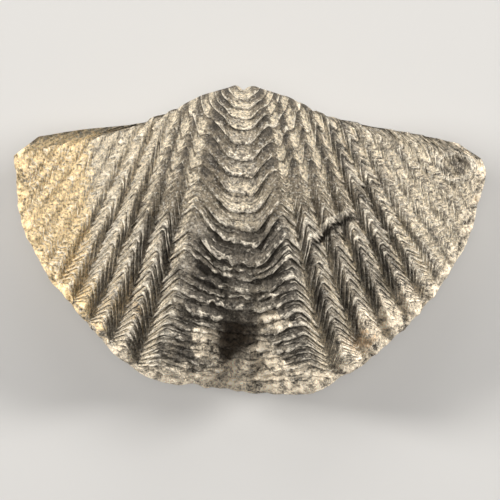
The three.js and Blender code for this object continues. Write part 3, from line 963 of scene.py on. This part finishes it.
@dataclass(frozen=True)
class Fossil:
    """The whole fossil: both valves and the wall between them, woven into one closed skin.

    Args:
        fineness: Step between the mesh's columns, in millimetres of rib label.
        form: The large shape of the shell.
    """

    fineness: float = 0.1
    form: ShellForm = ShellForm()

    def fan(self, weaver: Weaver, valve: PedicleValve | BrachialValve, rings: Array) -> Fan:
        """Adds the rings of a valve to the weaver, with columns that run along the ribs.

        A ring takes the columns whose labels it reaches, and its two ends lie on the fan's edges.
        The columns crowd together beside the fan's edges, where the surface turns down, and the
        rings halfway out take every second one.

        Args:
            weaver: The weaver that takes the points.
            valve: The valve whose skin is sampled.
            rings: Growth of each ring, from the beak outwards.

        Returns:
            The valve's rings.
        """
        columns = self.form.ribs.columns(self.fineness)
        middle = len(columns) // 2
        spread = np.linspace(-self.form.left_fan, self.form.right_fan, 1201)
        angles, labels = [np.zeros(1)], [np.zeros(1)]
        for growth in rings[1:]:
            line = valve.base(spread, np.full_like(spread, growth))
            brink = np.maximum(np.abs(spread) / self.form.limit(spread) - 0.85, 0.0) / 0.15
            label = self.form.ribs.label(line[:, 0], line[:, 1]) + 1.5 * np.sign(spread) * brink**1.5
            label = np.maximum.accumulate(label)
            skip = 1 if growth > 0.4 or growth < 0.12 else 2
            kept = columns[middle % skip :: skip]
            margin = 0.4 * skip * self.fineness
            kept = kept[(kept > label[0] + margin) & (kept < label[-1] - margin)]
            labels.append(np.concatenate([label[:1], kept, label[-1:]]))
            angles.append(np.interp(labels[-1], label, spread))
        counts = [len(angle) for angle in angles]
        numbers = weaver.add(valve.skin(np.concatenate(angles), np.repeat(rings, counts)))
        return Fan(np.split(numbers, np.cumsum(counts)[:-1]), labels)

    def weave(self) -> Weaver:
        """Weaves the whole skin.

        Returns:
            The weaver, with one closed surface whose faces point out.
        """
        weaver = Weaver()
        pedicle = PedicleValve(self.form)
        brachial = BrachialValve(self.form)
        upper = self.fan(weaver, pedicle, pedicle.rings())
        lower = self.fan(weaver, brachial, brachial.rings()[:-1])
        lower.rings.append(upper.rings[-1])
        lower.labels.append(upper.labels[-1])
        upper.weave(weaver, outwards=True)
        lower.weave(weaver, outwards=False)
        self.weave_wall(weaver, upper.rings, lower.rings)
        return weaver

    def weave_wall(self, weaver: Weaver, upper: list[Array], lower: list[Array]) -> None:
        """Closes the fossil behind, with lines that run from the right wing to the left one.

        Args:
            weaver: The weaver that takes the wall's points.
            upper: The pedicle valve's rings.
            lower: The brachial valve's rings.
        """
        wall = Interarea(self.form)
        tips = upper[-1][-1], upper[-1][0]
        edges = []
        for rings in (upper, lower):
            right = [ring[-1] for ring in rings[:0:-1]]
            left = [ring[0] for ring in rings[1:]]
            edges.append(np.array([*right, rings[0][0], *left]))
        column = np.linspace(-1, 1, 2 * wall.columns + 1)[1:-1]
        across = np.linspace(0, 1, wall.lines + 1)[1:-1]
        grid = wall.skin(np.tile(column, len(across)), np.repeat(across, len(column)))
        numbers = weaver.add(grid).reshape(len(across), len(column))
        lines = [np.array([tips[0], *line, tips[1]]) for line in numbers]
        for above, below in itertools.pairwise([edges[0], *lines, edges[1]]):
            weaver.strip(below, above)

    def build(self) -> bpy.types.Object:
        """Builds the fossil at its real size, resting on its worn underside.

        Returns:
            The fossil's object, which rides on the frame and stands for its one node.
        """
        weaver = self.weave()
        low, high = (np.array(corner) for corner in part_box(NODE))
        points = weaver.points
        size = points.max(axis=0) - points.min(axis=0)
        size[2] -= REST_FACET
        scale = (high - low) / size
        points = (points - points.min(axis=0) - np.array([0, 0, REST_FACET])) * scale + low
        points[:, 2] = np.maximum(points[:, 2], low[2])
        fossil = bpy.data.objects.new("spirifer_fossil", weaver.mesh("spirifer_fossil", points))
        bpy.context.scene.collection.objects.link(fossil)
        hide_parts(NODE)
        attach(fossil, "root")
        return fossil


class NodeBench:
    """A short hand for adding and joining the nodes of one tree."""

    def __init__(self, tree: bpy.types.NodeTree) -> None:
        """Takes the tree that the nodes go into."""
        self.tree = tree

    def add(self, kind: str, **settings: object) -> bpy.types.Node:
        """Adds a node and sets its properties."""
        node = self.tree.nodes.new(kind)
        for name, value in settings.items():
            setattr(node, name, value)
        return node

    def join(self, source: bpy.types.NodeSocket, target: bpy.types.NodeSocket) -> None:
        """Joins an output to an input."""
        self.tree.links.new(source, target)

    def feed(self, target: bpy.types.NodeSocket, value: object) -> None:
        """Joins a socket to an input, or sets the input where the value is plain."""
        if isinstance(value, bpy.types.NodeSocket):
            self.join(value, target)
        else:
            target.default_value = value

    def attribute(self, name: str, output: str = "Fac") -> bpy.types.NodeSocket:
        """What the mesh says under a name at each of its points."""
        return self.add("ShaderNodeAttribute", attribute_name=name).outputs[output]

    def maths(self, operation: str, *values: object, clamp: bool = False) -> bpy.types.NodeSocket:
        """The result of a Math node."""
        node = self.add("ShaderNodeMath", operation=operation, use_clamp=clamp)
        for socket, value in zip(node.inputs, values):
            self.feed(socket, value)
        return node.outputs[0]

    def ramp(self, value: object, low: float, high: float) -> bpy.types.NodeSocket:
        """A smooth step of a value from 0 at low to 1 at high."""
        node = self.add("ShaderNodeMapRange", interpolation_type="SMOOTHSTEP")
        for name, given in (("Value", value), ("From Min", low), ("From Max", high)):
            self.feed(node.inputs[name], given)
        return node.outputs["Result"]

    def noise(self, place: object, scale: float, detail: float, roughness: float) -> bpy.types.NodeSocket:
        """The value of a Noise Texture, about 0.5 on average."""
        node = self.add("ShaderNodeTexNoise")
        given = {"Vector": place, "Scale": scale, "Detail": detail, "Roughness": roughness}
        for name, value in given.items():
            self.feed(node.inputs[name], value)
        return node.outputs["Fac"]

    def blend(self, share: object, below: object, above: object, mode: str = "MIX") -> bpy.types.NodeSocket:
        """A colour over another one, by a share."""
        node = self.add("ShaderNodeMix", data_type="RGBA", blend_type=mode, clamp_factor=True)
        for number, value in ((0, share), (6, below), (7, above)):
            self.feed(node.inputs[number], value)
        return node.outputs[2]


@dataclass(frozen=True)
class Layer:
    """A tint laid over the stone where a mask is high, with an edge broken up by noise.

    Args:
        mask: Name of the attribute that says where the tint lies.
        tint: The tint's colour, in linear values.
        strength: The most of it that covers what is below.
        ragged: How far noise moves the edge of the mask.
    """

    mask: str
    tint: Colour
    strength: float
    ragged: float


@dataclass(frozen=True)
class FossilStone:
    """The finish of the fossil: grey-brown stone, creamy plates with painted light and painted highlights on
    their edges, grooves made dark with painted shade, tan wing and mud.
    """

    ground: Colour = (0.235, 0.200, 0.150)
    pale_ground: Colour = (0.35, 0.305, 0.24)
    layers: tuple[Layer, ...] = (
        Layer("umber", (0.20, 0.163, 0.112), 0.8, 1.0),
        # Cream tone, together with painted light.
        Layer("cream_and_painted_light", (0.64, 0.545, 0.40), 0.95, 1.2),
        # Dark tone, together with painted shade.
        Layer("dark_tone_and_shade", (0.055, 0.047, 0.038), 0.85, 1.1),
        Layer("mud", (0.66, 0.565, 0.43), 0.85, 1.2),
        Layer("ochre", (0.76, 0.57, 0.31), 0.9, 1.0),
        Layer("rust", (0.36, 0.22, 0.10), 0.6, 0.9),
        # Painted highlight on the free edges.
        Layer("lip_highlight", (0.78, 0.70, 0.57), 0.75, 1.2),
        Layer("shade", (0.035, 0.028, 0.02), 0.85, 1.2),
        # Painted shade in the pit.
        Layer("pit", (0.055, 0.038, 0.023), 0.9, 0.25),
    )

    def material(self) -> bpy.types.Material:
        """Builds the material.

        Returns:
            A material that reads the skin's masks and its place in the fossil's own space.
        """
        material = bpy.data.materials.new("fossil_stone")
        material.use_nodes = True
        bench = NodeBench(material.node_tree)
        shader = material.node_tree.nodes["Principled BSDF"]
        place = bench.add("ShaderNodeTexCoord").outputs["Object"]
        flow = bench.attribute("flow", "Vector")
        stretch = bench.add("ShaderNodeMapping")
        stretch.inputs["Scale"].default_value = (2.6, 11.0, 1.0)
        bench.join(flow, stretch.inputs["Vector"])
        mud = bench.attribute("mud")
        lines = bench.noise(stretch.outputs["Vector"], 1.0, 3.0, 0.6)
        clods = bench.ramp(bench.noise(place, 1700.0, 4.0, 0.65), 0.22, 0.7)
        streaks = bench.blend(bench.ramp(mud, 0.1, 0.8), lines, clods)
        grit = bench.noise(place, 6000.0, 4.0, 0.7)
        patches = bench.noise(place, 2300.0, 4.0, 0.65)
        broken = bench.maths("MULTIPLY_ADD", streaks, 0.6, bench.maths("MULTIPLY", patches, 0.6))
        coarse = bench.ramp(bench.noise(place, 800.0, 3.0, 0.6), 0.35, 0.65)
        colour = bench.blend(coarse, (*self.ground, 1), (*self.pale_ground, 1))
        for layer in self.layers:
            mask = bench.attribute(layer.mask)
            stray = bench.maths("MULTIPLY", bench.maths("SUBTRACT", broken, 0.6), 3.0 * layer.ragged)
            share = bench.ramp(bench.maths("ADD", mask, stray), 0.2, 0.75)
            gate = bench.maths("MULTIPLY", share, bench.ramp(mask, 0.0, 0.12))
            colour = bench.blend(bench.maths("MULTIPLY", gate, layer.strength), colour, (*layer.tint, 1))
        both = bench.maths("ADD", bench.maths("MULTIPLY", grit, 4.6), bench.maths("MULTIPLY", streaks, 2.4))
        tone = bench.maths("MAXIMUM", bench.maths("SUBTRACT", both, 2.38), 0.18)
        colour = bench.blend(1.0, colour, tone, "MULTIPLY")
        # Painted glints: pale specks, kept out of the painted shade and the dark tone.
        painted_glints = bench.ramp(bench.noise(place, 8000.0, 2.0, 0.5), 0.58, 0.67)
        pit = bench.attribute("pit")
        dark_tone_and_shade = bench.attribute("dark_tone_and_shade")
        dull = bench.maths("MAXIMUM", bench.ramp(pit, 0.02, 0.4), bench.ramp(dark_tone_and_shade, 0.0, 1.1))
        lit = bench.maths("SUBTRACT", 1.0, dull)
        lit = bench.maths("MULTIPLY", bench.maths("MULTIPLY", painted_glints, 0.65), lit)
        colour = bench.blend(lit, colour, (0.80, 0.75, 0.65, 1))
        bench.join(colour, shader.inputs["Base Color"])
        rough = bench.maths("MULTIPLY_ADD", grit, 0.4, 0.5, clamp=True)
        bench.join(rough, shader.inputs["Roughness"])
        shader.inputs["Specular IOR Level"].default_value = 0.35
        relief = bench.maths("MULTIPLY_ADD", streaks, 1.2, bench.maths("MULTIPLY_ADD", patches, 0.8, grit))
        bump = bench.add("ShaderNodeBump")
        bump.inputs["Strength"].default_value = 1.0
        bump.inputs["Distance"].default_value = 0.12 * MM
        bench.join(relief, bump.inputs["Height"])
        bench.join(bump.outputs["Normal"], shader.inputs["Normal"])
        return material


@dataclass(frozen=True)
class Studio:
    """A pale floor, soft lights low on both sides, and a camera that looks straight down.

    Args:
        width_seen: Width of the view at the height of the fossil's margin, in metres.
        lens: Focal length, in the camera's own millimetres.
        drop: How far the view's middle lies in front of the fossil's middle.
    """

    width_seen: float = 29.4 * MM
    lens: float = 150.0
    drop: float = 0.46 * MM

    def floor(self) -> bpy.types.Object:
        """Lays the floor, a wide plane of matt pale paper."""
        mesh = bpy.data.meshes.new("floor")
        corners = [(x * FLOOR_HALF, y * FLOOR_HALF, 0) for x, y in ((-1, -1), (1, -1), (1, 1), (-1, 1))]
        mesh.from_pydata(corners, [], [(0, 1, 2, 3)])
        floor = bpy.data.objects.new("floor", mesh)
        bpy.context.scene.collection.objects.link(floor)
        material = bpy.data.materials.new("floor_paper")
        material.use_nodes = True
        shader = material.node_tree.nodes["Principled BSDF"]
        shader.inputs["Base Color"].default_value = (0.60, 0.59, 0.575, 1)
        shader.inputs["Roughness"].default_value = 0.9
        mesh.materials.append(material)
        floor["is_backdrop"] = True
        return floor

    def light(self, name: str, place: tuple[float, float, float], size: float, power: float) -> None:
        """Hangs a square soft light that faces the fossil.

        Args:
            name: Name of the light.
            place: Where it hangs, in metres.
            size: Length of its side, in metres.
            power: Its power in watts.
        """
        lamp = bpy.data.lights.new(name, "AREA")
        lamp.size = size
        lamp.energy = power
        lamp.color = (1.0, 0.985, 0.96)
        hung = bpy.data.objects.new(name, lamp)
        hung.location = place
        hung.rotation_euler = (Vector((0, 0, 5 * MM)) - Vector(place)).to_track_quat("-Z", "Y").to_euler()
        bpy.context.scene.collection.objects.link(hung)

    def lights(self) -> None:
        """Hangs the lights: one low on each side, one behind, and a weak one above."""
        self.light("left_light", (-0.22, 0.06, 0.12), 0.06, 0.62)
        self.light("right_light", (0.22, 0.06, 0.12), 0.06, 0.62)
        self.light("back_light", (0.0, 0.22, 0.14), 0.12, 0.14)
        self.light("top_light", (0.0, 0.0, 0.30), 0.12, 0.22)
        world = bpy.data.worlds.new("studio_air")
        world.use_nodes = True
        world.node_tree.nodes["Background"].inputs["Color"].default_value = (0.9, 0.92, 1.0, 1)
        world.node_tree.nodes["Background"].inputs["Strength"].default_value = 0.06
        bpy.context.scene.world = world
        bpy.context.scene.view_settings.view_transform = "Standard"

    def camera(self, low: Array, high: Array) -> None:
        """Sets the camera over the fossil.

        Args:
            low: Lowest corner of the fossil's box.
            high: Highest corner of it.
        """
        camera = bpy.data.cameras.new("camera")
        camera.lens = self.lens
        camera.clip_start = 0.005
        distance = self.width_seen * self.lens / camera.sensor_width
        rim = low[2] + 0.49 * (high[2] - low[2])
        seat = bpy.data.objects.new("camera", camera)
        seat.location = ((low[0] + high[0]) / 2, (low[1] + high[1]) / 2 - self.drop, rim + distance)
        bpy.context.scene.collection.objects.link(seat)
        bpy.context.scene.camera = seat


def plain(box: tuple) -> list[list[float]]:
    """A box as plain lists of numbers."""
    return [[float(value) for value in corner] for corner in box]


def main() -> None:
    """Builds the studio and the fossil."""
    logging.basicConfig(level=logging.INFO, format="%(name)s: %(message)s")
    cad_box = plain(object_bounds())
    low, high = (np.array(corner) for corner in cad_box)
    studio = Studio()
    studio.camera(low, high)
    studio.lights()
    studio.floor()
    LOG.info("studio: camera %.0f mm over the floor", bpy.context.scene.camera.location.z / MM)
    fossil = Fossil().build()
    fossil.data.materials.append(FossilStone().material())
    LOG.info("%s: %d points, %d faces", fossil.name, len(fossil.data.vertices), len(fossil.data.polygons))


if __name__ == "__main__":
    main()
